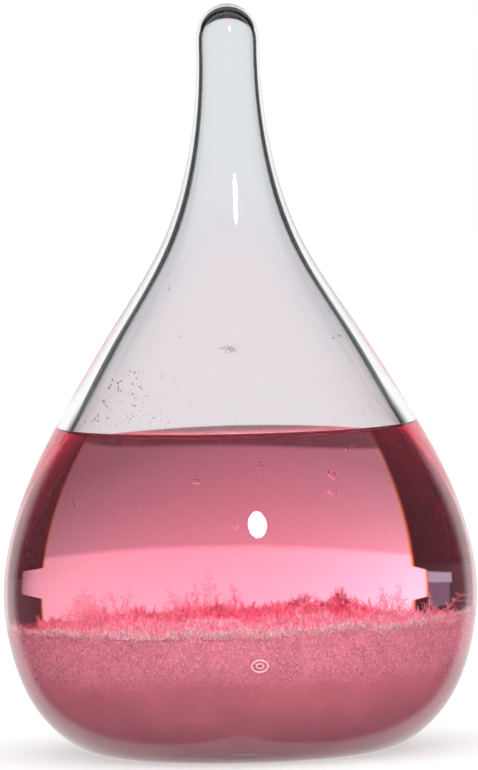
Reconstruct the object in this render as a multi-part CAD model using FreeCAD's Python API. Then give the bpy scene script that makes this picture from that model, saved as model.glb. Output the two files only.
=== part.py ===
"""Drop-shaped storm glass: a blown glass vessel, filled through its base, with dyed liquid and crystals.

Frame: +Z up, millimetres, origin on the vessel's axis in the plane of its flat foot.
"""

import FreeCAD
import Part

import math
import os
import random

V = FreeCAD.Vector

# Vessel, outside
HEIGHT = 126.2
BELLY_RADIUS = 40.0
NECK_RADIUS = 5.35
DOME_BASE = 120.0
FOOT_RADIUS = 23.0
HEEL = (26.4, 0.7)
# Height, outer radius and wall thickness of the blown wall, from the heel to the top of the neck.
STATIONS = [
    (2.6, 29.7, 3.2),
    (8.0, 34.9, 2.3),
    (17.0, 38.7, 1.9),
    (27.0, BELLY_RADIUS, 1.8),
    (38.0, 38.3, 2.0),
    (48.0, 34.5, 2.4),
    (60.0, 27.9, 2.75),
    (72.0, 20.5, 2.3),
    (86.0, 11.85, 1.7),
    (100.0, 7.2, 1.2),
    (112.0, 5.55, 0.95),
]
NECK_WALL = 0.9
TIP_WALL = 1.25

# Vessel, base
FLOOR_HEIGHT = 4.2
FLOOR_FLAT_RADIUS = 12.0
FLOOR_EDGE_RADIUS = 20.0
FOOT_RING_WIDTH = 5.5
PUNT_DEPTH = 2.0
PUNT_FLAT_RADIUS = 10.5

# Filling port, its stopper and its sealant
PORT_RADIUS = 4.0
STOPPER_FLANGE_RADIUS = 6.5
STOPPER_FLANGE = 0.9
STOPPER_RISE = 0.8
STOPPER_CHAMFER = 0.5
SEALANT_RADIUS = 9.4
SEALANT_CLEARANCE = 0.35
SEALANT_DISH = 0.25

# Liquid
LIQUID_LEVEL = 52.7
MENISCUS_WIDTH = 3.2
MENISCUS_RISE = 1.5

# Settled crystals: radius and height of points on the bed's top, a low mound that banks up against the glass.
BED_TOP = [(0.0, 22.3), (5.0, 22.3), (16.0, 22.9), (28.0, 21.6), (BELLY_RADIUS, 24.0)]

# Fern-like crystals. Shares are of a frond's own height, and of its stem's thickness.
FROND_COUNT = 20
FROND_HEIGHT = (4.0, 9.0)
FROND_ROOTED_SHARE = 0.12
FROND_LEAN = 0.22
NEEDLE_PAIRS = 3
NEEDLE_SPREAD = 60.0
NEEDLE_THICKNESS = 0.45
FIRST_PAIR_SHARE = 0.42
PAIR_STEP_SHARE = 0.18
BRANCH_SHARE = 0.48
BRANCH_LOSS_SHARE = 0.11
BRANCH_THICKNESS_SHARE = 0.7
NEEDLE_SHOULDER_SHARE = 0.75
NEEDLE_TIP_SHARE = 0.12

# Loose flakes, and how far the crystals keep from the glass, from the fronds and from the surface
FLAKE_COUNT = 12
FLAKE_RADIUS = (0.5, 0.9)
FLAKE_THICKNESS = 0.15
FLAKE_MARGIN = 3.5
WALL_GAP = 1.0

GOLDEN_ANGLE = math.pi * (3 - math.sqrt(5))
SEED = 11


def spline(points):
    """A smooth curve through (radius, height) points, spaced along it by the distances between them."""
    places = [V(r, 0, z) for r, z in points]
    lengths = [0.0]
    for a, b in zip(places, places[1:]):
        lengths.append(lengths[-1] + a.distanceToPoint(b))
    curve = Part.BSplineCurve()
    curve.interpolate(Points=places, Parameters=lengths)
    return curve


def bend(*poles):
    """A Bezier curve from the first (radius, height) pole to the last, pulled towards those between."""
    curve = Part.BezierCurve()
    curve.setPoles([V(r, 0, z) for r, z in poles])
    return curve.toShape()


def line(a, b):
    return Part.makeLine(V(a[0], 0, a[1]), V(b[0], 0, b[1]))


def chain(*corners):
    """Straight edges from each (radius, height) corner to the next."""
    return [line(a, b) for a, b in zip(corners, corners[1:])]


def dome(radius, base, top):
    """A quarter of an ellipse, taller than it is wide, from (radius, base) up to the axis at top."""
    side, peak = V(radius, 0, base), V(0, 0, top)
    ellipse = Part.Ellipse(peak, side, V(0, 0, base))
    start, end = sorted((ellipse.parameter(side), ellipse.parameter(peak)))
    if end - start > math.pi:
        start, end = end, start + 2 * math.pi
    return Part.Arc(ellipse, start, end).toShape()


def turned(edges):
    """The solid swept when a closed (radius, height) outline turns once about the vessel's axis."""
    wire = Part.Wire(Part.__sortEdges__(edges))
    return Part.Face(wire).revolve(V(0, 0, 0), V(0, 0, 1), 360)


def outer_wall():
    wall = [(r, z) for z, r, _ in STATIONS]
    return spline([(FOOT_RADIUS, 0.0), HEEL] + wall + [(NECK_RADIUS, DOME_BASE)])


def inner_wall(outside):
    """The cavity's side: every station moved in from the outer wall by its own thickness."""
    points = [(FLOOR_FLAT_RADIUS, FLOOR_HEIGHT), (FLOOR_EDGE_RADIUS, FLOOR_HEIGHT)]
    for z, r, wall in STATIONS:
        along = outside.tangent(outside.parameter(V(r, 0, z)))[0]
        points.append((r - wall * along.z, z + wall * along.x))
    points.append((NECK_RADIUS - NECK_WALL, DOME_BASE))
    return spline(points)


def inner_radius(side, height):
    """The cavity's radius at a height."""
    crossings = side.intersectCC(Part.Line(V(0, 0, height), V(1, 0, height)))
    return max(p.X for p in crossings)


def height_on(top, radius):
    """Height of the bed's top at a radius."""
    return top.intersectCC(Part.Line(V(radius, 0, 0), V(radius, 0, 1)))[0].Z


def cavity_solid(side):
    """Everything inside the glass: liquid, crystals and the air above them."""
    ceiling = HEIGHT - TIP_WALL
    roof = dome(NECK_RADIUS - NECK_WALL, DOME_BASE, ceiling)
    axis_and_floor = chain((0, ceiling), (0, FLOOR_HEIGHT), (FLOOR_FLAT_RADIUS, FLOOR_HEIGHT))
    return turned([side.toShape(), roof] + axis_and_floor)


def glass_vessel(outside, cavity):
    """The blown shell, with a hollowed underside that leaves a flat foot ring, and the filling port."""
    ring_inside = FOOT_RADIUS - FOOT_RING_WIDTH
    halfway = (ring_inside + PUNT_FLAT_RADIUS) / 2
    punt_side = bend(
        (PUNT_FLAT_RADIUS, PUNT_DEPTH),
        (halfway, PUNT_DEPTH),
        (halfway, 0.4 * PUNT_DEPTH),
        (ring_inside, 0),
    )
    foot = line((ring_inside, 0), (FOOT_RADIUS, 0))
    tip = dome(NECK_RADIUS, DOME_BASE, HEIGHT)
    axis_and_punt = chain((0, HEIGHT), (0, PUNT_DEPTH), (PUNT_FLAT_RADIUS, PUNT_DEPTH))
    body = turned([punt_side, foot, outside.toShape(), tip] + axis_and_punt)
    port = Part.makeCylinder(PORT_RADIUS, FLOOR_HEIGHT)
    return body.cut(cavity).cut(port)


def fill_stopper():
    """A silicone bung pushed up into the port: a shank, and a flange that seats under the base."""
    seat = PUNT_DEPTH - STOPPER_FLANGE
    top = FLOOR_HEIGHT + STOPPER_RISE
    return turned(chain(
        (0, seat),
        (STOPPER_FLANGE_RADIUS, seat),
        (STOPPER_FLANGE_RADIUS, PUNT_DEPTH),
        (PORT_RADIUS, PUNT_DEPTH),
        (PORT_RADIUS, top - STOPPER_CHAMFER),
        (PORT_RADIUS - STOPPER_CHAMFER, top),
        (0, top),
        (0, seat),
    ))


def stopper_sealant(stopper):
    """Cured sealant over the stopper's flange, dished in the middle, clear of the table."""
    dished = SEALANT_CLEARANCE + SEALANT_DISH
    edge = (SEALANT_RADIUS, SEALANT_CLEARANCE)
    underside = bend((0, dished), (SEALANT_RADIUS / 2, dished), (SEALANT_RADIUS / 2, SEALANT_CLEARANCE), edge)
    rest = chain(edge, (SEALANT_RADIUS, PUNT_DEPTH), (0, PUNT_DEPTH), (0, dished))
    return turned([underside] + rest).cut(stopper)


def liquid_body(side, cavity):
    """The cavity up to the liquid's surface, which climbs the glass in a small meniscus."""
    rim_height = LIQUID_LEVEL + MENISCUS_RISE
    wall = inner_radius(side, rim_height)
    flat_end = wall - MENISCUS_WIDTH
    climb = bend(
        (wall, rim_height),
        (wall - 0.25 * MENISCUS_WIDTH, LIQUID_LEVEL + 0.2 * MENISCUS_RISE),
        (flat_end, LIQUID_LEVEL),
    )
    rest = chain(
        (flat_end, LIQUID_LEVEL),
        (0, LIQUID_LEVEL),
        (0, 0),
        (BELLY_RADIUS, 0),
        (BELLY_RADIUS, rim_height),
        (wall, rim_height),
    )
    return cavity.common(turned([climb] + rest))


def crystal_bed(top, cavity, stopper):
    """The settled crystals: all of the cavity under the bed's top."""
    rest = chain(BED_TOP[-1], (BELLY_RADIUS, 0), (0, 0), BED_TOP[0])
    return cavity.common(turned([top.toShape()] + rest)).cut(stopper)


def hexagon(radius, height):
    turns = [math.radians(60 * i) for i in range(6)]
    return [V(radius * math.cos(a), radius * math.sin(a), height) for a in turns]


def faceted(rings):
    """The solid with flat faces between matching rings of corners, closed by the first and last ring."""
    loops = [rings[0], rings[-1]]
    for low, high in zip(rings, rings[1:]):
        for i in range(len(low)):
            j = (i + 1) % len(low)
            loops.append([low[i], low[j], high[j], high[i]])
    faces = [Part.Face(Part.makePolygon(loop + loop[:1])) for loop in loops]
    solid = Part.Solid(Part.Shell(faces))
    if solid.Volume < 0:
        solid.reverse()
    return solid


def needle(base, direction, length, thickness):
    """A hexagonal crystal needle that tapers from its base to a fine tip."""
    turn = FreeCAD.Rotation(V(0, 0, 1), direction)
    shoulder = (NEEDLE_SHOULDER_SHARE * length, BRANCH_THICKNESS_SHARE * thickness)
    profile = [(0, thickness), shoulder, (length, NEEDLE_TIP_SHARE * thickness)]
    return faceted([[base + turn.multVec(corner) for corner in hexagon(r, z)] for z, r in profile])


def frond(base, direction, across, height):
    """A fern-like crystal: one stem with pairs of side needles, as one solid."""
    branches = []
    for i in range(NEEDLE_PAIRS):
        start = base + direction * (height * (FIRST_PAIR_SHARE + PAIR_STEP_SHARE * i))
        length = height * (BRANCH_SHARE - BRANCH_LOSS_SHARE * i)
        for spread in (-NEEDLE_SPREAD, NEEDLE_SPREAD):
            outwards = FreeCAD.Rotation(across, spread).multVec(direction)
            branches.append(needle(start, outwards, length, BRANCH_THICKNESS_SHARE * NEEDLE_THICKNESS))
    return needle(base, direction, height, NEEDLE_THICKNESS).fuse(branches)


def crystal_fronds(side, top, rng):
    """Fern-like crystals rooted in the bed, leaning a little, from the middle out to near the wall."""
    fronds = []
    lowest = min(z for _, z in BED_TOP)
    for i in range(FROND_COUNT):
        height = rng.uniform(*FROND_HEIGHT)
        arm = (FIRST_PAIR_SHARE + FROND_LEAN) * height
        reach = inner_radius(side, lowest) - WALL_GAP - arm
        spread = reach * math.sqrt((i + 0.5) / FROND_COUNT)
        angle = GOLDEN_ANGLE * i + rng.uniform(-0.2, 0.2)
        x, y = spread * math.cos(angle), spread * math.sin(angle)
        lean = V(rng.uniform(-FROND_LEAN, FROND_LEAN), rng.uniform(-FROND_LEAN, FROND_LEAN), 1).normalize()
        across = lean.cross(V(math.cos(3 * angle), math.sin(3 * angle), 0)).normalize()
        root = V(x, y, height_on(top, spread) - FROND_ROOTED_SHARE * height)
        fronds.append(frond(root, lean, across, height))
    return fronds


def flake(centre, tilt, radius):
    """A thin six-sided crystal plate."""
    rings = [hexagon(radius, 0), hexagon(radius, FLAKE_THICKNESS)]
    return faceted([[centre + tilt.multVec(corner) for corner in ring] for ring in rings])


def loose_flakes(side, rng):
    """Plates that drift in the clear liquid between the fronds and the surface."""
    low = BED_TOP[-1][1] + FROND_HEIGHT[1] + FLAKE_MARGIN
    high = LIQUID_LEVEL - FLAKE_MARGIN
    flakes = []
    for i in range(FLAKE_COUNT):
        height = low + (high - low) * (i + 0.5) / FLAKE_COUNT
        reach = inner_radius(side, height) - 3 * WALL_GAP
        spread = reach * math.sqrt(rng.uniform(0.1, 1.0))
        angle = GOLDEN_ANGLE * i + rng.uniform(-0.3, 0.3)
        tilt = FreeCAD.Rotation(rng.uniform(0, 360), rng.uniform(-70, 70), rng.uniform(-70, 70))
        centre = V(spread * math.cos(angle), spread * math.sin(angle), height)
        flakes.append(flake(centre, tilt, rng.uniform(*FLAKE_RADIUS)))
    return flakes


def save(name, shape):
    """Writes one node's solids to parts/NAME.step."""
    solids = shape.Solids
    kept = solids[0] if len(solids) == 1 else Part.makeCompound(solids)
    kept.exportStep(os.path.join("parts", name + ".step"))
    print(name, len(solids), "solids", round(kept.Volume / 1000, 3), "ml", kept.isValid())


def main():
    os.makedirs("parts", exist_ok=True)
    rng = random.Random(SEED)
    outside = outer_wall()
    side = inner_wall(outside)
    cavity = cavity_solid(side)
    stopper = fill_stopper()
    top = spline(BED_TOP)
    bed = crystal_bed(top, cavity, stopper)
    fronds = crystal_fronds(side, top, rng)
    flakes = loose_flakes(side, rng)
    liquid = liquid_body(side, cavity).cut([bed, stopper]).cut(fronds + flakes)
    save("glass_vessel", glass_vessel(outside, cavity))
    save("fill_stopper", stopper)
    save("stopper_sealant", stopper_sealant(stopper))
    save("storm_liquid", liquid)
    save("crystal_bed", bed)
    save("crystal_fronds", Part.makeCompound([frond.cut(bed) for frond in fronds]))
    save("loose_flakes", Part.makeCompound(flakes))


main()
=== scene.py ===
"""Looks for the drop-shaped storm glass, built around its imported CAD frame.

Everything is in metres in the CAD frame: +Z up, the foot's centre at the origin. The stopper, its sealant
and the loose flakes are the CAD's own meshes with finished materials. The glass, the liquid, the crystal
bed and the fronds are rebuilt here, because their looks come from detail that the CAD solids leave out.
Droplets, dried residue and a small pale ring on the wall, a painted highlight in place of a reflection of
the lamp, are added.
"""

import math

import bpy
import numpy as np
from mathutils import Matrix, Vector, noise
from mathutils.bvhtree import BVHTree


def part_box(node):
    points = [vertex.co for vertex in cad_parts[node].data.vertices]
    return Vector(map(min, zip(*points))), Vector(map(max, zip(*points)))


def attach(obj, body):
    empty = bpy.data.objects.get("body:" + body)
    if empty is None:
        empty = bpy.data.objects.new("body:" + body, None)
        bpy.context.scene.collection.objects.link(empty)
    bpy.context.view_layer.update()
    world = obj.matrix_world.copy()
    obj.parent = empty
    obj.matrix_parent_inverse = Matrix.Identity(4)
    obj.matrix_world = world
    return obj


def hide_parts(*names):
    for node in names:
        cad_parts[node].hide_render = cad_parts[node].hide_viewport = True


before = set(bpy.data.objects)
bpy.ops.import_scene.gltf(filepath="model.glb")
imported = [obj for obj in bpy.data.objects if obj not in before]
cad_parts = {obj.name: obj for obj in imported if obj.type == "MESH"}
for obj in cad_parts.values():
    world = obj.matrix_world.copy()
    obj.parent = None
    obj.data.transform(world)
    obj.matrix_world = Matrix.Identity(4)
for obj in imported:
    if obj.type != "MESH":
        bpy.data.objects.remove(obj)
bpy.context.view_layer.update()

MM = 0.001
RNG = np.random.default_rng(7)

# Optics
GLASS_IOR = 1.47
LIQUID_IOR = 1.36
WATER_IOR = 1.33
CRYSTAL_IOR = 1.49
WHITE = (1, 1, 1, 1)
DYE_COLOUR = (0.97, 0.03, 0.27, 1)
DYE_DENSITY = 18.5
# Painted sheen on the liquid's surface seen from above, in place of its reflection
SURFACE_PAINTED_SHEEN = 1.0
# Painted shade on the liquid's surface seen from below: its colour, and how much light it takes away
UNDERSIDE_PAINTED_SHADE = (0.04, 0.03, 0.03, 1)
UNDERSIDE_SHADE_STRENGTH = 0.82

# Liquid: its side is sunk this far into the glass, so that no gap shows between them
OVERLAP = 0.05 * MM
MENISCUS_LENGTH = 1.1 * MM
MENISCUS_REACH = 6.0 * MM
MENISCUS_STEPS = 24
LIQUID_SEGMENTS = 256

# The glass, read from its CAD mesh with rays
CAST_TURNS = 48
FAR = 0.2
LOWEST_SLOPE = math.radians(-78)
PORT_MARGIN = 0.3 * MM
HEEL_CENTRE = (18 * MM, 14 * MM)
DOME_CENTRE_DROP = 8 * MM
WALL_ROW = 0.55 * MM
VESSEL_SEGMENTS = 192

# Crystals
BED_GAP = 0.12 * MM
RIM_START = 12 * MM
RIM_GAP = 1.5 * MM
BED_SEGMENTS = 320
BED_RINGS = 64
BED_TILT = 0.012
BROAD_WIDTH, BROAD_RISE = 9 * MM, 1.4
LUMP_WIDTH, LUMP_RISE = 2.6 * MM, 0.95
GRAIN_WIDTH, GRAIN_RISE = 0.9 * MM, 0.45
FELT_COUNT = 33000
FERN_COUNT = 260
FERN_CLUMPS = [(-17, 9)] * 16 + [(-4, 14)] * 10 + [(19, 6)] * 8
CLUMP_SPREAD = 2.4
STEM_WIDTH = 0.075 * MM
TALL_FERN = 3 * MM
PAIR_SPACING = 0.55 * MM
SHORTEST_ARM = 0.18 * MM

# Marks on the inside wall
DROPLET_COUNT = 260
GATHERED_SHARE = 0.7
BEAD_SEGMENTS = 10
PATCH_COUNT = 160
SPECK_COUNT = 26
# A pale ring on the inside wall, painted as a highlight in place of a reflection of the lamp
HIGHLIGHT_RING_TURN = math.radians(-85.5)
HIGHLIGHT_RING_HEIGHT = 17.3 * MM
HIGHLIGHT_RINGS = ((1.3, 1.0, 0.12), (0.55, 0.4, 0.09))
RING_SEGMENTS = 48
TUBE_SEGMENTS = 8

# Studio. Angles are in degrees, right of and above the camera's own direction
RIGHT_CARD, LEFT_CARD = 35.8, -27.5
GAP_LOW, GAP_HIGH = -5.6, -0.8
AIR_RIGHT, AIR_LEFT = 27.0, -25.0
WALL_RIGHT, WALL_LEFT = 31.0, -31.0
CARD_LIGHT = 0.008
LAMP_AZIMUTH, LAMP_ELEVATION = 9.4, 31.5
LAMP_LEVEL = 40.0
FLOOR_HALF = 6.0
FLOOR_SINK = 0.02 * MM

# A ray's depth counts whole events, so these lie between two counts
NONE_YET = 0.5
LEAVES_WALL = 2.5
CROSSED_LIQUID = 5.5

# Camera
LENS = 266.0
CAMERA_PLACE = (0.0006, -0.96, 0.090)
FOCUS_PLACE = (0, -0.02, 0.045)
F_STOP = 56.0
PITCH = 1.68
ROLL = 1.34


# ---------------------------------------------------------------- the cavity, read from the frame

depsgraph = bpy.context.evaluated_depsgraph_get()
glass_tree = BVHTree.FromObject(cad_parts["glass_vessel"], depsgraph)
bed_tree = BVHTree.FromObject(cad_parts["crystal_bed"], depsgraph)
floor_height, bed_top = (corner.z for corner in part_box("crystal_bed"))
contact_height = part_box("storm_liquid")[1].z
pivot = Vector((0, 0, (floor_height + contact_height) / 2))


def cast(radius, height, slope, reverse=False):
    """(radius, height) where a ray in the meridian plane meets the glass, the mean over many turns about Z.

    The ray starts at (radius, height) and leaves at slope, an angle above the outward horizontal. A
    reversed ray runs the same line from far outside back to the start, so it finds the outer surface.
    """
    reach = 0.0
    for i in range(CAST_TURNS):
        turn = 2 * math.pi * (i + 0.5) / CAST_TURNS
        out = Vector((math.cos(turn), math.sin(turn), 0))
        start = out * radius + Vector((0, 0, height))
        direction = out * math.cos(slope) + Vector((0, 0, math.sin(slope)))
        if reverse:
            reach += (glass_tree.ray_cast(start + direction * FAR, -direction)[0] - start).length
        else:
            reach += glass_tree.ray_cast(start, direction)[3]
    reach /= CAST_TURNS
    return radius + reach * math.cos(slope), height + reach * math.sin(slope)


def inner_radius(height):
    """The cavity's radius at a height."""
    return cast(0.0, height, 0.0)[0]


def level_height():
    """Height of the liquid's flat surface, under its meniscus."""
    tree = BVHTree.FromObject(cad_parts["storm_liquid"], depsgraph)
    return tree.ray_cast(Vector((0, 0, contact_height + MM)), Vector((0, 0, -1)))[0].z


liquid_level = level_height()


def wall_outline(top, spread, count=140):
    """(radius, height) of points up the cavity's wall, from its floor to top, moved outward by spread."""
    points = [(0.0, floor_height - spread)]
    highest = math.atan2(top - pivot.z, inner_radius(top))
    for angle in np.linspace(LOWEST_SLOPE, highest, count):
        radius, height = cast(0.0, pivot.z, angle)
        points.append((radius + spread * math.cos(angle), height + spread * math.sin(angle)))
    return points


def bed_height(x, y):
    """Height of the CAD bed's top."""
    return bed_tree.ray_cast(Vector((x, y, contact_height)), Vector((0, 0, -1)))[0].z


# ---------------------------------------------------------------- meshes

def add_piece(name, vertices, faces, material, smooth=True):
    mesh = bpy.data.meshes.new(name)
    mesh.from_pydata(vertices, [], faces)
    mesh.materials.append(material)
    mesh.polygons.foreach_set("use_smooth", [smooth] * len(mesh.polygons))
    mesh.update()
    piece = bpy.data.objects.new(name, mesh)
    bpy.context.scene.collection.objects.link(piece)
    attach(piece, "root")
    return piece


def lathe(outline, segments, shift=None):
    """Vertices and faces of a closed body turned from an outline that starts and ends on the axis.

    shift(point) moves each vertex as it is made.
    """
    vertices = [Vector((0, 0, outline[0][1]))]
    for radius, height in outline[1:-1]:
        for i in range(segments):
            turn = 2 * math.pi * i / segments
            vertices.append(Vector((radius * math.cos(turn), radius * math.sin(turn), height)))
    vertices.append(Vector((0, 0, outline[-1][1])))
    if shift:
        vertices = [shift(v) for v in vertices]
    faces = []
    last = len(vertices) - 1
    rings = len(outline) - 2
    for i in range(segments):
        j = (i + 1) % segments
        faces.append((0, 1 + j, 1 + i))
        for ring in range(rings - 1):
            low, high = 1 + ring * segments, 1 + (ring + 1) * segments
            faces.append((low + i, low + j, high + j, high + i))
        top = 1 + (rings - 1) * segments
        faces.append((top + i, top + j, last))
    return vertices, faces


def shards(roots, directions, lengths, widths, waist):
    """Vertices and faces of many closed three-sided crystals, pointed at both ends.

    Each runs from its root along its direction, and is widest at the waist, a share of its length.
    roots and directions are (n, 3) arrays, lengths and widths are (n,) arrays.
    """
    helper = np.where(np.abs(directions[:, 2:]) < 0.9, [[0.0, 0.0, 1.0]], [[1.0, 0.0, 0.0]])
    side = unit(np.cross(directions, helper))
    other = np.cross(directions, side)
    middle = roots + directions * (lengths * waist)[:, None]
    corners = [roots, roots + directions * lengths[:, None]]
    for i in range(3):
        turn = 2 * math.pi * i / 3
        corners.append(middle + (side * math.cos(turn) + other * math.sin(turn)) * widths[:, None])
    vertices = np.stack(corners, axis=1).reshape(-1, 3)
    pattern = [(0, 3, 2), (0, 4, 3), (0, 2, 4), (1, 2, 3), (1, 3, 4), (1, 4, 2)]
    faces = (np.arange(len(roots))[:, None, None] * 5 + np.array(pattern)[None]).reshape(-1, 3)
    return vertices.tolist(), faces.tolist()


def unit(vectors):
    return vectors / np.linalg.norm(vectors, axis=1, keepdims=True)


def add_shards(name, crystals, waist, material, brightness=1.0):
    """Adds a piece of shards, each with its own random tone between 0 and its brightness."""
    vertices, faces = shards(*crystals, waist)
    piece = add_piece(name, vertices, faces, material, smooth=False)
    tones = np.repeat(RNG.uniform(0, 1, len(crystals[0])) * brightness, 6)
    piece.data.attributes.new("tone", "FLOAT", "FACE").data.foreach_set("value", tones)
    return piece


# ---------------------------------------------------------------- shader helpers

def node(tree, kind, **settings):
    """Adds a node; settings are its properties, or with spaces as underscores its input sockets' values."""
    made = tree.nodes.new(kind)
    for name, value in settings.items():
        if hasattr(made, name):
            setattr(made, name, value)
        else:
            feed(tree, made.inputs[name.replace("_", " ")], value)
    return made


def feed(tree, socket, value):
    """Links an output to a socket, or sets the socket's own value."""
    if isinstance(value, bpy.types.NodeSocket):
        tree.links.new(value, socket)
    else:
        socket.default_value = value


def maths(tree, operation, *values, clamp=False):
    made = tree.nodes.new("ShaderNodeMath")
    made.operation = operation
    made.use_clamp = clamp
    for socket, value in zip(made.inputs, values):
        feed(tree, socket, value)
    return made.outputs[0]


def smooth_step(tree, value, low, high):
    """0 below low and 1 above high, with a smooth ramp between."""
    made = node(tree, "ShaderNodeMapRange", interpolation_type="SMOOTHSTEP")
    feed(tree, made.inputs["Value"], value)
    made.inputs["From Min"].default_value = low
    made.inputs["From Max"].default_value = high
    return made.outputs["Result"]


def within(tree, value, low, high, softness):
    """1 where value lies between low and high, falling to 0 over softness."""
    rise = smooth_step(tree, value, low - softness, low + softness)
    fall = smooth_step(tree, value, high + softness, high - softness)
    return maths(tree, "MULTIPLY", rise, fall)


def noise_value(tree, scale, detail=4.0, roughness=0.6, vector=None):
    made = node(tree, "ShaderNodeTexNoise", Scale=scale, Detail=detail, Roughness=roughness)
    place = vector or node(tree, "ShaderNodeTexCoord").outputs["Object"]
    tree.links.new(place, made.inputs["Vector"])
    return made.outputs["Fac"]


def ramp(tree, value, *stops):
    made = tree.nodes.new("ShaderNodeValToRGB")
    while len(made.color_ramp.elements) < len(stops):
        made.color_ramp.elements.new(0.5)
    for element, (position, colour) in zip(made.color_ramp.elements, stops):
        element.position = position
        element.color = (*colour, 1)
    feed(tree, made.inputs["Fac"], value)
    return made.outputs["Color"]


def combine(tree, values):
    """A colour from the values of its three channels."""
    made = node(tree, "ShaderNodeCombineColor")
    for socket, value in zip(made.inputs, values):
        feed(tree, socket, value)
    return made.outputs[0]


def grey(tree, value):
    return combine(tree, [value] * 3)


def mix_colours(tree, blend, factor, first, second):
    made = node(tree, "ShaderNodeMix", data_type="RGBA", blend_type=blend)
    sockets = {s.identifier: s for s in made.inputs}
    feed(tree, sockets["Factor_Float"], factor)
    feed(tree, sockets["A_Color"], first)
    feed(tree, sockets["B_Color"], second)
    return next(s for s in made.outputs if s.identifier == "Result_Color")


def new_material(name):
    """A material with an empty tree, and its output node."""
    material = bpy.data.materials.new(name)
    material.use_nodes = True
    material.node_tree.nodes.clear()
    return material, material.node_tree, material.node_tree.nodes.new("ShaderNodeOutputMaterial")


def principled(tree, output, **settings):
    shader = node(tree, "ShaderNodeBsdfPrincipled", **settings)
    tree.links.new(shader.outputs["BSDF"], output.inputs["Surface"])
    return shader


# ---------------------------------------------------------------- materials

def vessel_glass():
    """Clear glass. Where liquid wets the inside, the index is the ratio of glass to liquid."""
    material, tree, output = new_material("blown_glass")
    wet = node(tree, "ShaderNodeAttribute", attribute_name="wetted").outputs["Fac"]
    index = maths(tree, "MULTIPLY_ADD", wet, GLASS_IOR / LIQUID_IOR - GLASS_IOR, GLASS_IOR)
    ripple = noise_value(tree, 45.0, detail=1.5, roughness=0.4)
    bump = node(tree, "ShaderNodeBump", Strength=0.05, Distance=0.4 * MM, Height=ripple)
    shader = principled(tree, output, Base_Color=(0.985, 0.99, 0.99, 1), Roughness=0.0,
                        Transmission_Weight=1.0, Normal=bump.outputs["Normal"])
    shader.inputs["IOR"].default_value = GLASS_IOR
    tree.links.new(index, shader.inputs["IOR"])
    return material


def dyed_liquid():
    """Pink dyed liquid. Its free surface bends light; its side doesn't, because the glass there does.

    From above, the surface has a pale painted sheen in place of its reflection. From below it is dimmed
    with painted shade, but not for the light on the crystals.
    """
    material, tree, output = new_material("dyed_liquid")
    surface = node(tree, "ShaderNodeAttribute", attribute_name="free_surface").outputs["Fac"]
    index = maths(tree, "MULTIPLY_ADD", surface, LIQUID_IOR - 1.0, 1.0)
    backfacing = node(tree, "ShaderNodeNewGeometry").outputs["Backfacing"]
    from_above = maths(tree, "SUBTRACT", surface, backfacing, clamp=True)
    scatters = node(tree, "ShaderNodeLightPath").outputs["Diffuse Depth"]
    lit_path = maths(tree, "GREATER_THAN", scatters, NONE_YET)
    # painted shade: the surface seen from below is darkened, on camera paths only
    from_below = maths(tree, "SUBTRACT", maths(tree, "MULTIPLY", surface, backfacing), lit_path, clamp=True)
    dim = mix_colours(tree, "MIX", from_below, WHITE, UNDERSIDE_PAINTED_SHADE)
    clear = maths(tree, "MULTIPLY_ADD", from_below, -UNDERSIDE_SHADE_STRENGTH, 1.0)
    # painted sheen: a pale pink layer on the surface seen from above, in place of its reflection
    shader = principled(tree, output, Base_Color=dim, Roughness=0.0, Transmission_Weight=clear,
                        Sheen_Weight=maths(tree, "MULTIPLY", from_above, SURFACE_PAINTED_SHEEN), Sheen_Roughness=0.6,
                        Sheen_Tint=(0.95, 0.74, 0.79, 1), Specular_Tint=dim)
    shader.inputs["Base Color"].default_value = WHITE
    shader.inputs["Transmission Weight"].default_value = 1.0
    shader.inputs["IOR"].default_value = LIQUID_IOR
    tree.links.new(index, shader.inputs["IOR"])
    dye = node(tree, "ShaderNodeVolumeAbsorption", Color=DYE_COLOUR, Density=DYE_DENSITY)
    tree.links.new(dye.outputs["Volume"], output.inputs["Volume"])
    return material


def crystal(name, dark, light, translucency):
    """Fine translucent crystal: light scatters off it and through it. Every shard has its own tone."""
    material, tree, output = new_material(name)
    tone = node(tree, "ShaderNodeAttribute", attribute_name="tone").outputs["Fac"]
    cloud = noise_value(tree, 500.0, detail=2.0)
    shade = maths(tree, "MULTIPLY_ADD", tone, 0.7, maths(tree, "MULTIPLY", cloud, 0.3))
    colour = ramp(tree, shade, (0.1, dark), (0.75, light))
    shader = node(tree, "ShaderNodeBsdfPrincipled", Base_Color=colour, Roughness=0.35,
                  IOR=CRYSTAL_IOR / LIQUID_IOR)
    through = node(tree, "ShaderNodeBsdfTranslucent", Color=colour)
    mix = node(tree, "ShaderNodeMixShader", Fac=translucency)
    tree.links.new(shader.outputs["BSDF"], mix.inputs[1])
    tree.links.new(through.outputs["BSDF"], mix.inputs[2])
    tree.links.new(mix.outputs[0], output.inputs["Surface"])
    return material


def clear_crystal(name, clarity):
    """A crystal so close to the liquid in index that only its edges show; the rest of it scatters."""
    material, tree, output = new_material(name)
    cloud = noise_value(tree, 600.0, detail=2.0)
    colour = ramp(tree, cloud, (0.3, (0.95, 0.82, 0.86)), (0.7, (1.0, 0.96, 0.98)))
    principled(tree, output, Base_Color=colour, Roughness=0.05, Transmission_Weight=clarity,
               IOR=CRYSTAL_IOR / LIQUID_IOR)
    return material


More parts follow.
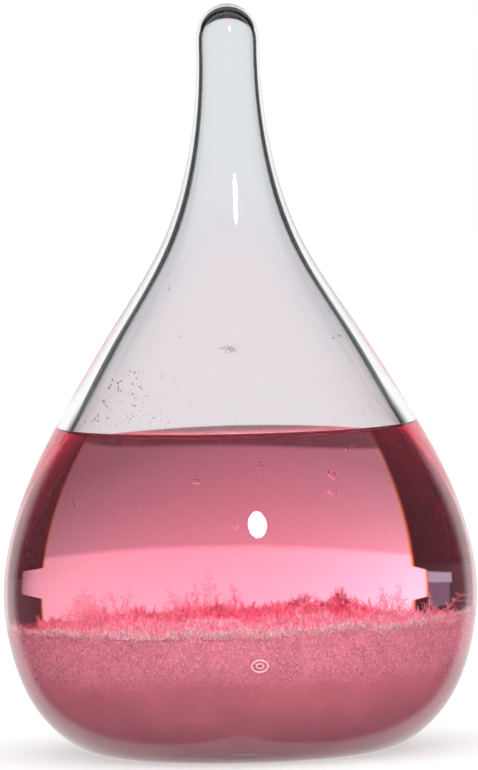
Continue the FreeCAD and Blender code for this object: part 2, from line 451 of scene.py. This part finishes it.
def settled_crystal():
    """The bed: felted crystals soaked in dye, mottled, with painted shade that darkens it towards the
    floor.
    """
    material, tree, output = new_material("felted_crystal")
    place = node(tree, "ShaderNodeTexCoord").outputs["Object"]
    height = node(tree, "ShaderNodeSeparateXYZ", Vector=place).outputs["Z"]
    # painted shade: the colour darkens from the bed's top down to the floor
    depth = smooth_step(tree, height, floor_height, bed_top)
    shade = ramp(tree, depth, (0.0, (0.30, 0.10, 0.135)), (0.5, (0.39, 0.115, 0.16)),
                 (1.0, (0.72, 0.26, 0.40)))
    mottle = ramp(tree, noise_value(tree, 160.0, detail=8.0), (0.3, (0.86,) * 3), (0.7, (1.08,) * 3))
    tone = mix_colours(tree, "MULTIPLY", 1.0, shade, mottle)
    grain = noise_value(tree, 2600.0, detail=6.0, roughness=0.7)
    bump = node(tree, "ShaderNodeBump", Strength=0.6, Distance=0.15 * MM, Height=grain)
    principled(tree, output, Base_Color=tone, Roughness=0.8, IOR=1.05,
               Normal=bump.outputs["Normal"])
    return material


def silicone():
    material, tree, output = new_material("silicone_rubber")
    tone = ramp(tree, noise_value(tree, 400.0), (0.3, (0.78, 0.78, 0.76)), (0.7, (0.88, 0.88, 0.86)))
    bump = node(tree, "ShaderNodeBump", Strength=0.25, Distance=0.05 * MM, Height=noise_value(tree, 3000.0))
    principled(tree, output, Base_Color=tone, Roughness=0.55, Subsurface_Weight=0.4,
               Subsurface_Scale=1.5 * MM, Normal=bump.outputs["Normal"])
    return material


def sealant():
    """Milky cured sealant with small trapped bubbles."""
    material, tree, output = new_material("milky_sealant")
    cells = node(tree, "ShaderNodeTexVoronoi", Scale=900.0)
    tree.links.new(node(tree, "ShaderNodeTexCoord").outputs["Object"], cells.inputs["Vector"])
    bubbles = smooth_step(tree, cells.outputs["Distance"], 0.12, 0.2)
    tone = ramp(tree, bubbles, (0.0, (0.95, 0.95, 0.94)), (1.0, (0.84, 0.84, 0.81)))
    bump = node(tree, "ShaderNodeBump", Strength=0.3, Distance=0.1 * MM, Height=noise_value(tree, 300.0))
    principled(tree, output, Base_Color=tone, Roughness=0.22, Subsurface_Weight=0.5,
               Subsurface_Scale=2 * MM, Normal=bump.outputs["Normal"])
    return material


def water_bead():
    material, tree, output = new_material("water_bead")
    principled(tree, output, Base_Color=WHITE, Roughness=0.0, Transmission_Weight=1.0, IOR=WATER_IOR)
    return material


# ---------------------------------------------------------------- the pieces

def vessel_outline():
    """(radius, height) down the inside from the tip, through the filling port and up the outside.

    Also the number of points that belong to the inside.
    """
    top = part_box("glass_vessel")[1].z - DOME_CENTRE_DROP
    centre, low = HEEL_CENTRE
    quarter = np.radians(np.linspace(0, 90, 26))
    rows = list(np.linspace(low, contact_height, int((contact_height - low) / WALL_ROW)))
    rows += list(np.linspace(contact_height, top, int((top - contact_height) / WALL_ROW)))[1:]
    port = cast(0.0, floor_height - MM, 0.0)[0]
    ring_edge = centre - 0.5 * MM
    inside = [cast(0.0, top, a) for a in quarter[:0:-1]]
    inside += [cast(0.0, z, 0.0) for z in reversed(rows)]
    inside += [cast(centre, low, -a) for a in quarter[1:]]
    down = math.radians(-90)
    inside += [cast(r, low, down) for r in np.linspace(centre - MM, port + PORT_MARGIN, 14)]
    inside.append((port, inside[-1][1]))
    under = [cast(r, low, down, reverse=True) for r in np.linspace(port + PORT_MARGIN, ring_edge, 30)]
    outside = [(port, under[0][1])] + under
    outside += [cast(centre, low, -a, reverse=True) for a in quarter[::-1]]
    outside += [cast(0.0, z, 0.0, reverse=True) for z in rows[1:]]
    outside += [cast(0.0, top, a, reverse=True) for a in quarter[1:]]
    inside[0] = (0.0, inside[0][1])
    outside[-1] = (0.0, outside[-1][1])
    return inside + outside, len(inside)


def make_vessel():
    outline, inside_count = vessel_outline()
    vertices, faces = lathe(outline, VESSEL_SEGMENTS)
    piece = add_piece("blown_glass", vertices, faces, vessel_glass())
    mesh = piece.data
    per_slice = len(faces) // VESSEL_SEGMENTS
    wet_rows = [i < inside_count and max(z for r, z in outline[i:i + 2]) < contact_height + 0.01 * MM
                for i in range(per_slice)]
    values = [float(wet_rows[i % per_slice]) for i in range(len(faces))]
    mesh.attributes.new("wetted", "FLOAT", "FACE").data.foreach_set("value", values)
    mesh.set_sharp_from_angle(angle=math.radians(50))
    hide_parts("glass_vessel")


def make_liquid():
    wall = wall_outline(contact_height, OVERLAP)
    wall[-1] = (inner_radius(contact_height) + OVERLAP, contact_height)
    rise = contact_height - liquid_level
    edge = wall[-1][0]
    steps = [MENISCUS_REACH * (i / MENISCUS_STEPS) ** 2 for i in range(1, MENISCUS_STEPS + 1)]
    surface = [(edge - step, liquid_level + rise * math.exp(-step / MENISCUS_LENGTH)) for step in steps]
    outline = wall + surface + [(0.0, liquid_level)]
    vertices, faces = lathe(outline, LIQUID_SEGMENTS)
    piece = add_piece("dyed_liquid", vertices, faces, dyed_liquid())
    mesh = piece.data
    per_slice = len(faces) // LIQUID_SEGMENTS
    is_free = [float(i % per_slice >= len(wall) - 1) for i in range(len(faces))]
    mesh.attributes.new("free_surface", "FLOAT", "FACE").data.foreach_set("value", is_free)
    brim = range(1 + (len(wall) - 2) * LIQUID_SEGMENTS, 1 + (len(wall) - 1) * LIQUID_SEGMENTS)
    sharp = [e.vertices[0] in brim and e.vertices[1] in brim for e in mesh.edges]
    mesh.attributes.new("sharp_edge", "BOOLEAN", "EDGE").data.foreach_set("value", sharp)
    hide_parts("storm_liquid")


def hummock(x, y):
    """How far the settled crystals rise above, or sink below, the CAD bed's even top.

    The whole top also rises a little to the right.
    """
    place = Vector((x, y, 0.0))
    broad = noise.noise(place / BROAD_WIDTH) * BROAD_RISE + BED_TILT * x / MM
    lumps = noise.noise(place / LUMP_WIDTH + Vector((7, 3, 1))) * LUMP_RISE
    grain = noise.noise(place / GRAIN_WIDTH + Vector((1, 9, 4))) * GRAIN_RISE
    return (broad + lumps + grain) * MM


def felt_height(x, y):
    return bed_height(x, y) + hummock(x, y)


def rim_gap(height):
    """Room between the bed's side and the glass: it opens towards the top, where loose crystals fill it."""
    share = min(max((height - RIM_START) / (bed_top - RIM_START), 0.0), 1.0)
    return BED_GAP + RIM_GAP * share * share * (3 - 2 * share)


def make_bed():
    """The bed's body. Returns the radius of its top's edge."""
    rim_height = bed_height(inner_radius(bed_top) - 2 * MM, 0)
    side = wall_outline(rim_height - BED_GAP, 0.0, count=70)
    wall = [(max(r - rim_gap(z), 0.0), z + BED_GAP) for r, z in side]
    edge = wall[-1][0]
    top = [(edge * (1 - i / BED_RINGS), rim_height) for i in range(1, BED_RINGS)]
    outline = wall + top + [(0.0, rim_height)]
    lowest_top = rim_height - 0.01 * MM

    def settle(v):
        """Moves a vertex of the top to the felt's own height; the side keeps an uneven surface."""
        if v.z < lowest_top:
            swell = noise.noise(v / (1.3 * MM)) * 0.3 * rim_gap(v.z)
            out = Vector((v.x, v.y, 0)).normalized() if v.xy.length > 0 else Vector((0, 0, 0))
            return v + out * swell
        reach = min(v.xy.length, edge - MM)
        x, y = (v.xy.normalized() * reach) if v.xy.length > 0 else (0.0, 0.0)
        return Vector((v.x, v.y, felt_height(x, y)))

    vertices, faces = lathe(outline, BED_SEGMENTS, settle)
    piece = add_piece("crystal_felt_bed", vertices, faces, settled_crystal())
    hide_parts("crystal_bed")
    return edge


def make_top_felt(edge):
    """Short crystals all over the bed's top."""
    radius = (edge + 0.5 * MM) * np.sqrt(RNG.uniform(0.0, 1.0, FELT_COUNT))
    turn = RNG.uniform(0, 2 * math.pi, FELT_COUNT)
    x, y = radius * np.cos(turn), radius * np.sin(turn)
    z = np.array([felt_height(a, b) for a, b in zip(x, y)]) - 0.15 * MM
    directions = unit(RNG.normal(0, 0.8, (FELT_COUNT, 3)) + [0, 0, 1.0])
    directions[:, 2] = np.abs(directions[:, 2])
    lengths = RNG.uniform(0.4, 1.5, FELT_COUNT) * MM
    lengths = np.minimum(lengths, np.maximum((edge + 1.4 * MM - radius) * 1.5, 0.3 * MM))
    widths = RNG.uniform(0.05, 0.11, FELT_COUNT) * MM
    crystals = (np.stack([x, y, z], 1), directions, lengths, widths)
    material = crystal("top_crystal", (0.62, 0.50, 0.58), (1.0, 1.0, 1.0), 0.45)
    add_shards("crystal_top_felt", crystals, 0.4, material)


def make_rim_felt(edge):
    """Short crystals heaped between the bed's rounded rim and the glass, sparser lower down and darkened
    there with painted shade.
    """
    turn = RNG.uniform(0, 2 * math.pi, FELT_COUNT)
    top = np.array([felt_height(edge * math.cos(t), edge * math.sin(t)) for t in turn]) + 0.3 * MM
    heights = np.linspace(RIM_START, top.max(), 60)
    radii = np.array([inner_radius(z) for z in heights])
    z = RIM_START + (top - RIM_START) * np.sqrt(RNG.uniform(0, 1, FELT_COUNT))
    gaps = np.array([rim_gap(h) for h in z])
    lengths = RNG.uniform(0.25, 0.75, FELT_COUNT) * MM
    radius = np.interp(z, heights, radii) - 0.06 * MM - gaps * RNG.uniform(0.0, 0.8, FELT_COUNT) ** 1.5
    out = np.stack([np.cos(turn), np.sin(turn), np.zeros(FELT_COUNT)], 1)
    directions = unit(RNG.normal(0, 1.0, (FELT_COUNT, 3)) + [0, 0, 0.5] - out * 0.35)
    outward = np.maximum((directions * out).sum(1), 0.0)
    directions = unit(directions - out * outward[:, None])
    widths = RNG.uniform(0.04, 0.10, FELT_COUNT) * MM
    radius = radius - widths
    crystals = (out * radius[:, None] + np.stack([0 * z, 0 * z, z], 1), directions, lengths, widths)
    material = crystal("rim_crystal", (0.52, 0.19, 0.26), (1.0, 0.60, 0.69), 0.4)
    # painted shade: tones darken lower down, deeper in the narrowing gap
    brightness = np.clip((z - RIM_START) / (6 * MM), 0.0, 1.0) ** 0.8
    add_shards("crystal_rim_felt", crystals, 0.45, material, brightness)


def fern(root, direction, across, length, width, level, out):
    """Adds a fern's stem and its pairs of side needles to out; each side needle is a smaller fern."""
    out.append((root, direction, length, width))
    if level == 0:
        return
    pairs = max(3, int(length / PAIR_SPACING))
    for i in range(pairs):
        share = 0.18 + 0.75 * (i + 0.5) / pairs
        arm = length * 0.62 * (1 - share) ** 0.8 * RNG.uniform(0.3, 1.0)
        if arm < SHORTEST_ARM:
            continue
        for side in (-1, 1):
            angle = side * math.radians(60 + RNG.uniform(-9, 9))
            outward = Matrix.Rotation(angle, 3, across) @ direction
            sag = Matrix.Rotation(RNG.uniform(-0.7, 0.7), 3, direction)
            fern(root + direction * length * share, sag @ outward, across, arm, width * 0.7, level - 1, out)


def make_ferns(edge):
    """Fern-like crystals that stand on the bed, in loose clumps."""
    needles = []
    for i in range(FERN_COUNT):
        clump = FERN_CLUMPS[i] if i < len(FERN_CLUMPS) else None
        length = (1.1 + 2.2 * RNG.uniform() ** 2.0) * MM
        reach = edge - 0.8 * MM - 0.5 * length
        radius = reach * math.sqrt(RNG.uniform(0.02, 1.0))
        turn = RNG.uniform(0, 2 * math.pi)
        x, y = radius * math.cos(turn), radius * math.sin(turn)
        if clump:
            # a clump's fern is larger, and stands near its clump instead of at the place drawn above
            length = RNG.uniform(3.2, 5.4) * MM
            x, y = (RNG.normal(centre, CLUMP_SPREAD) * MM for centre in clump)
        lean = Vector((RNG.normal(0, 0.3), RNG.normal(0, 0.3), 1)).normalized()
        across = lean.cross(Vector((math.cos(2.4 * i), math.sin(2.4 * i), 0))).normalized()
        root = Vector((x, y, felt_height(x, y) - 0.3 * MM))
        fern(root, lean, across, length, STEM_WIDTH, 2 if length > TALL_FERN else 1, needles)
    roots, directions, lengths, widths = (np.array(column) for column in zip(*needles))
    crystals = (roots, unit(directions), lengths, widths)
    material = clear_crystal("fern_crystal", 0.75)
    piece = add_shards("crystal_ferns", crystals, 0.35, material)
    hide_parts("crystal_fronds")


def on_wall(turn, height, depth=0.0):
    """The point on the cavity's wall at a turn and a height, its inward normal and the way up it."""
    radius = inner_radius(height)
    slope = math.atan2(inner_radius(height + 0.5 * MM) - radius, 0.5 * MM)
    out = Vector((math.cos(turn), math.sin(turn), 0))
    inward = -out * math.cos(slope) + Vector((0, 0, math.sin(slope)))
    up = out * math.sin(slope) + Vector((0, 0, math.cos(slope)))
    return out * radius + Vector((0, 0, height)) + inward * depth, inward, up


def add_bead(turn, height, size, stretch, vertices, faces):
    """Adds a flattened drop that clings to the wall, taller than wide by stretch.

    across, up and inward are left-handed, so the drop's faces turn inward.
    """
    centre, inward, up = on_wall(turn, height, depth=0.05 * size)
    across = inward.cross(up)
    outline = [(size * math.sin(a), -size * 0.45 * math.cos(a)) for a in np.linspace(0, math.pi, 7)]
    outline[0], outline[-1] = (0.0, outline[0][1]), (0.0, outline[-1][1])
    points, bead_faces = lathe(outline, BEAD_SEGMENTS)
    start = len(vertices)
    vertices.extend(centre + across * v.x + up * v.y * stretch + inward * v.z for v in points)
    faces.extend(tuple(start + i for i in face) for face in bead_faces)


def make_droplets():
    """Condensation on the dry inside wall, most of it just over the liquid at the front left."""
    vertices, faces = [], []
    for _ in range(DROPLET_COUNT):
        gathered = RNG.uniform() < GATHERED_SHARE
        turn = math.radians(RNG.normal(-132, 13) if gathered else RNG.uniform(0, 360))
        height = contact_height + (1.2 + (9.0 if gathered else 38.0) * RNG.uniform()) * MM
        size = (0.06 + 0.16 * RNG.uniform() ** 3) * MM
        add_bead(turn, height, size, RNG.uniform(0.9, 1.3), vertices, faces)
    add_piece("wall_droplets", vertices, faces, water_bead())


def make_residue():
    """A faint patch of dried crystals at the front of the shoulder, and specks low down on the wall."""
    patch = [(math.radians(-92 + RNG.normal(0, 2.1)), (68 + RNG.normal(0, 0.35)) * MM)
             for _ in range(PATCH_COUNT)]
    specks = [(math.radians(RNG.uniform(-125, -55)), RNG.uniform(5, 9) * MM) for _ in range(SPECK_COUNT)]
    spots = [on_wall(turn, height, depth=0.03 * MM) for turn, height in patch + specks]
    roots = np.array([spot[0] for spot in spots])
    inward = np.array([spot[1] for spot in spots])
    lengths = RNG.uniform(0.10, 0.35, len(spots)) * MM
    loose = unit(RNG.normal(0, 1, (len(spots), 3)))
    flat = unit(loose - inward * (loose * inward).sum(1)[:, None] + inward * 0.15)
    material = crystal("dried_crystal", (0.10, 0.08, 0.09), (0.40, 0.36, 0.38), 0.2)
    add_shards("dried_residue", (roots, flat, lengths, lengths * 0.18), 0.5, material)


def make_highlight_ring():
    """A small flattened pale ring on the wall's inner face, low at the front, with a smaller one inside it:
    a painted highlight in place of a reflection of the lamp.

    As in add_bead, the faces turn inward.
    """
    centre, inward, up = on_wall(HIGHLIGHT_RING_TURN, HIGHLIGHT_RING_HEIGHT, depth=0.12 * MM)
    across = inward.cross(up)
    vertices, faces = [], []
    for width, height, thick in HIGHLIGHT_RINGS:
        start = len(vertices)
        for i in range(RING_SEGMENTS):
            turn = 2 * math.pi * i / RING_SEGMENTS
            ring = across * (width * math.cos(turn)) + up * (height * math.sin(turn))
            for j in range(TUBE_SEGMENTS):
                tube = 2 * math.pi * j / TUBE_SEGMENTS
                bulge = ring.normalized() * math.cos(tube) + inward * math.sin(tube)
                vertices.append(centre + (ring + bulge * thick) * MM)
                this, following = i * TUBE_SEGMENTS, (i + 1) % RING_SEGMENTS * TUBE_SEGMENTS
                n = (j + 1) % TUBE_SEGMENTS
                faces.append(tuple(start + v for v in (this + j, following + j, following + n, this + n)))
    # painted highlight: bright near-white colour in place of the lamp's reflection
    material = crystal("painted_highlight_ring", (1.0, 0.85, 0.90), (1.0, 0.95, 0.97), 0.3)
    add_piece("wall_painted_highlight", vertices, faces, material)


def finish_cad_nodes():
    """Gives the CAD's own meshes their materials."""
    finishes = {
        "fill_stopper": silicone(),
        "stopper_sealant": sealant(),
        "loose_flakes": clear_crystal("flake_crystal", 0.97),
    }
    for name, material in finishes.items():
        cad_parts[name].material_slots[0].material = material


# ---------------------------------------------------------------- the studio

def dome_light(tree, direction):
    """Soft light on everything that scatters: stronger from above and in front."""
    key = node(tree, "ShaderNodeVectorMath", operation="DOT_PRODUCT")
    tree.links.new(direction, key.inputs[0])
    key.inputs[1].default_value = Vector((0.1, 0.6, -0.8)).normalized()
    return maths(tree, "MULTIPLY_ADD", key.outputs["Value"], 1.03, 1.0)


def lamp_light(tree, direction):
    """A small round soft box behind the camera, up and to the right."""
    azimuth, elevation = math.radians(LAMP_AZIMUTH), math.radians(LAMP_ELEVATION)
    lamp = node(tree, "ShaderNodeVectorMath", operation="DOT_PRODUCT")
    tree.links.new(direction, lamp.inputs[0])
    lamp.inputs[1].default_value = (math.sin(azimuth) * math.cos(elevation), math.sin(elevation),
                                    -math.cos(azimuth) * math.cos(elevation))
    outer, inner = math.cos(math.radians(4.6)), math.cos(math.radians(4.2))
    return maths(tree, "MULTIPLY", smooth_step(tree, lamp.outputs["Value"], outer, inner), LAMP_LEVEL)


def table_and_backdrop(tree, azimuth, elevation):
    """What the liquid's lens shows: a table that brightens away from the drop, and a backdrop behind it.

    Dark cards stand either side; a little light gets past the far ends of both.
    """
    depth = maths(tree, "MULTIPLY_ADD", elevation, 1 / 45.0, 35.0 / 45.0)
    ahead = ramp(tree, depth, *[((e + 35) / 45, (v, v, v)) for e, v in (
        (-35, 0.28), (-20, 0.37), (-17, 0.48), (-13.3, 0.60),
        (-7.9, 0.85), (-7.2, 1.42), (-3.7, 1.6), (0, 1.75))])
    slope = maths(tree, "MULTIPLY_ADD", azimuth, -0.0115, 1.0)
    slope = maths(tree, "MINIMUM", maths(tree, "MAXIMUM", slope, 0.6), 1.3)
    slope = maths(tree, "MULTIPLY", slope, smooth_step(tree, azimuth, 54.0, 35.0))
    curve = maths(tree, "MULTIPLY", maths(tree, "MULTIPLY", azimuth, azimuth), 0.0062)
    beside_foot = smooth_step(tree, maths(tree, "ADD", elevation, curve), -19.7, -19.0)
    near = maths(tree, "MULTIPLY_ADD", beside_foot, 0.72, 0.28)
    under_ceiling = maths(tree, "MULTIPLY", near, smooth_step(tree, elevation, 22.0, 12.0))
    return maths(tree, "MULTIPLY", maths(tree, "MULTIPLY", ahead, slope), under_ceiling)


def reflected_room(tree, azimuth, elevation):
    """What the outside of the glass mirrors: the backdrop, with a dark ceiling over it."""
    beside = within(tree, azimuth, -38.0, 38.0, 6.0)
    wall = maths(tree, "MULTIPLY", beside, smooth_step(tree, elevation, 34.0, 18.0))
    return maths(tree, "MULTIPLY_ADD", wall, 0.85, 0.05)


def wall_view(tree, azimuth, elevation):
    """What rays that never leave the glass wall see: the backdrop, a dim table and a dark ceiling."""
    level = maths(tree, "MULTIPLY_ADD", smooth_step(tree, elevation, -12.0, -5.0), 0.68, 0.32)
    lit = maths(tree, "MULTIPLY", level, smooth_step(tree, elevation, 19.0, 12.0))
    between_cards = opening(tree, azimuth, WALL_RIGHT, WALL_LEFT, 0.0)
    return maths(tree, "ADD", maths(tree, "MULTIPLY", lit, between_cards), CARD_LIGHT)


def opening(tree, azimuth, right_edge, left_edge, fringe):
    """1 between the cards. fringe moves both edges, for one colour of the spectrum."""
    right = maths(tree, "ADD", right_edge, fringe)
    left = maths(tree, "SUBTRACT", left_edge, fringe)
    inside_right = maths(tree, "MULTIPLY", maths(tree, "SUBTRACT", right, azimuth), 0.9, clamp=True)
    inside_left = maths(tree, "MULTIPLY", maths(tree, "SUBTRACT", azimuth, left), 0.9, clamp=True)
    return maths(tree, "MULTIPLY", inside_right, inside_left)


def make_world():
    """A studio that turns with the camera, so that the glass looks the same from every side."""
    world = bpy.data.worlds.new("studio")
    bpy.context.scene.world = world
    world.use_nodes = True
    world.cycles.sampling_method = "NONE"
    tree = world.node_tree
    tree.nodes.clear()
    output = tree.nodes.new("ShaderNodeOutputWorld")
    direction = node(tree, "ShaderNodeTexCoord").outputs["Camera"]
    right, up, ahead = node(tree, "ShaderNodeSeparateXYZ", Vector=direction).outputs
    azimuth = maths(tree, "DEGREES", maths(tree, "ARCTAN2", right, ahead))
    elevation = maths(tree, "DEGREES", maths(tree, "ARCSINE", up))
    path = node(tree, "ShaderNodeLightPath")
    through_liquid = maths(tree, "GREATER_THAN", path.outputs["Transmission Depth"], CROSSED_LIQUID)

    lens_view = table_and_backdrop(tree, azimuth, elevation)
    past_cards = within(tree, elevation, GAP_LOW, GAP_HIGH, 0.3)
    right_edge = maths(tree, "MULTIPLY_ADD", past_cards, 11.0, RIGHT_CARD)
    left_edge = maths(tree, "MULTIPLY_ADD", past_cards, -4.0, LEFT_CARD)
    side_glow = smooth_step(tree, maths(tree, "ABSOLUTE", azimuth), 61.0, 66.0)
    side_glow = maths(tree, "MULTIPLY", side_glow, smooth_step(tree, elevation, 16.0, 8.0))
    strip = maths(tree, "MULTIPLY", within(tree, azimuth, -42.0, -31.5, 0.5),
                  within(tree, elevation, -5.1, -3.3, 0.25))
    block = maths(tree, "MULTIPLY", within(tree, azimuth, -40.5, -31.5, 0.5),
                  within(tree, elevation, -3.2, 0.9, 0.2))
    channels = []
    for fringe, glow, strip_level, block_level in (
            (0.25, 0.85, 0.43, 0.15), (0, 1.5, 0.94, 0.25), (-0.25, 1.3, 0.98, 0.33)):
        clear = opening(tree, azimuth, right_edge, left_edge, fringe)
        far_ends = maths(tree, "MULTIPLY_ADD", block, block_level, 0.045)
        far_ends = maths(tree, "MULTIPLY_ADD", strip, strip_level, far_ends)
        dark = maths(tree, "MULTIPLY_ADD", side_glow, glow, far_ends)
        channels.append(maths(tree, "MULTIPLY_ADD", clear, lens_view, dark))
    lens = combine(tree, channels)

    air_clear = maths(tree, "MULTIPLY", opening(tree, azimuth, AIR_RIGHT, AIR_LEFT, 0.0),
                      smooth_step(tree, elevation, 19.0, 15.0))
    air_level = maths(tree, "MULTIPLY_ADD", air_clear, 0.86, CARD_LIGHT)
    air = mix_colours(tree, "MULTIPLY", 1.0, grey(tree, air_level), (0.985, 0.975, 1.02, 1))
    in_wall = maths(tree, "LESS_THAN", path.outputs["Transmission Depth"], LEAVES_WALL)
    air = mix_colours(tree, "MIX", in_wall, air, grey(tree, wall_view(tree, azimuth, elevation)))
    studio = mix_colours(tree, "MIX", through_liquid, air, lens)
    mirrored = maths(tree, "LESS_THAN", path.outputs["Transmission Depth"], NONE_YET)
    room = grey(tree, reflected_room(tree, azimuth, elevation))
    studio = mix_colours(tree, "MIX", mirrored, studio, room)
    direct = maths(tree, "LESS_THAN", path.outputs["Diffuse Depth"], NONE_YET)
    lamp = maths(tree, "MULTIPLY", lamp_light(tree, direction), direct)
    studio = mix_colours(tree, "ADD", 1.0, studio, grey(tree, lamp))
    scattered = maths(tree, "GREATER_THAN", path.outputs["Diffuse Depth"], NONE_YET)
    inside = maths(tree, "GREATER_THAN", path.outputs["Transmission Depth"], NONE_YET)
    dome_tint = mix_colours(tree, "MIX", inside, WHITE, (2.3, 2.0, 1.9, 1))
    dome = mix_colours(tree, "MULTIPLY", 1.0, grey(tree, dome_light(tree, direction)), dome_tint)
    light = mix_colours(tree, "MIX", scattered, studio, dome)
    seen = mix_colours(tree, "MIX", path.outputs["Is Camera Ray"], light, WHITE)
    background = node(tree, "ShaderNodeBackground", Color=seen, Strength=1.0)
    tree.links.new(background.outputs[0], output.inputs["Surface"])


def make_floor():
    """A pale floor. Rays bent by the glass pass through it, to the table that the studio shows them."""
    material, tree, output = new_material("pale_floor")
    path = node(tree, "ShaderNodeLightPath")
    pale = node(tree, "ShaderNodeBsdfPrincipled", Base_Color=(0.45, 0.45, 0.45, 1), Roughness=1.0,
                Specular_IOR_Level=0.0, Emission_Color=WHITE, Emission_Strength=0.5)
    clear = node(tree, "ShaderNodeBsdfTransparent")
    plain = maths(tree, "MAXIMUM", path.outputs["Is Camera Ray"], path.outputs["Is Diffuse Ray"])
    mix = node(tree, "ShaderNodeMixShader", Fac=plain)
    tree.links.new(clear.outputs[0], mix.inputs[1])
    tree.links.new(pale.outputs[0], mix.inputs[2])
    tree.links.new(mix.outputs[0], output.inputs["Surface"])
    mesh = bpy.data.meshes.new("floor")
    corners = [(x * FLOOR_HALF, y * FLOOR_HALF, 0) for x, y in ((-1, -1), (1, -1), (1, 1), (-1, 1))]
    mesh.from_pydata(corners, [], [(0, 1, 2, 3)])
    mesh.materials.append(material)
    floor = bpy.data.objects.new("floor", mesh)
    floor.location.z = -FLOOR_SINK
    bpy.context.scene.collection.objects.link(floor)


def make_camera():
    data = bpy.data.cameras.new("camera")
    data.lens = LENS
    focus = bpy.data.objects.new("focus", None)
    focus.location = FOCUS_PLACE
    bpy.context.scene.collection.objects.link(focus)
    data.dof.use_dof = True
    data.dof.focus_object = focus
    data.dof.aperture_fstop = F_STOP
    camera = bpy.data.objects.new("camera", data)
    camera.location = CAMERA_PLACE
    level = Matrix.Rotation(math.radians(90 - PITCH), 3, "X")
    roll = Matrix.Rotation(math.radians(-ROLL), 3, "Z")
    camera.rotation_euler = (level @ roll).to_euler()
    bpy.context.scene.collection.objects.link(camera)
    bpy.context.scene.camera = camera


def set_view():
    scene = bpy.context.scene
    scene.view_settings.view_transform = "Standard"
    cycles = scene.cycles
    cycles.max_bounces = 40
    cycles.transmission_bounces = 32
    cycles.diffuse_bounces = 6
    cycles.glossy_bounces = 12
    cycles.caustics_refractive = True
    cycles.caustics_reflective = True
    cycles.use_denoising = True


finish_cad_nodes()
make_vessel()
make_liquid()
bed_edge = make_bed()
make_top_felt(bed_edge)
make_rim_felt(bed_edge)
make_ferns(bed_edge)
make_droplets()
make_residue()
make_highlight_ring()
make_world()
make_floor()
make_camera()
set_view()
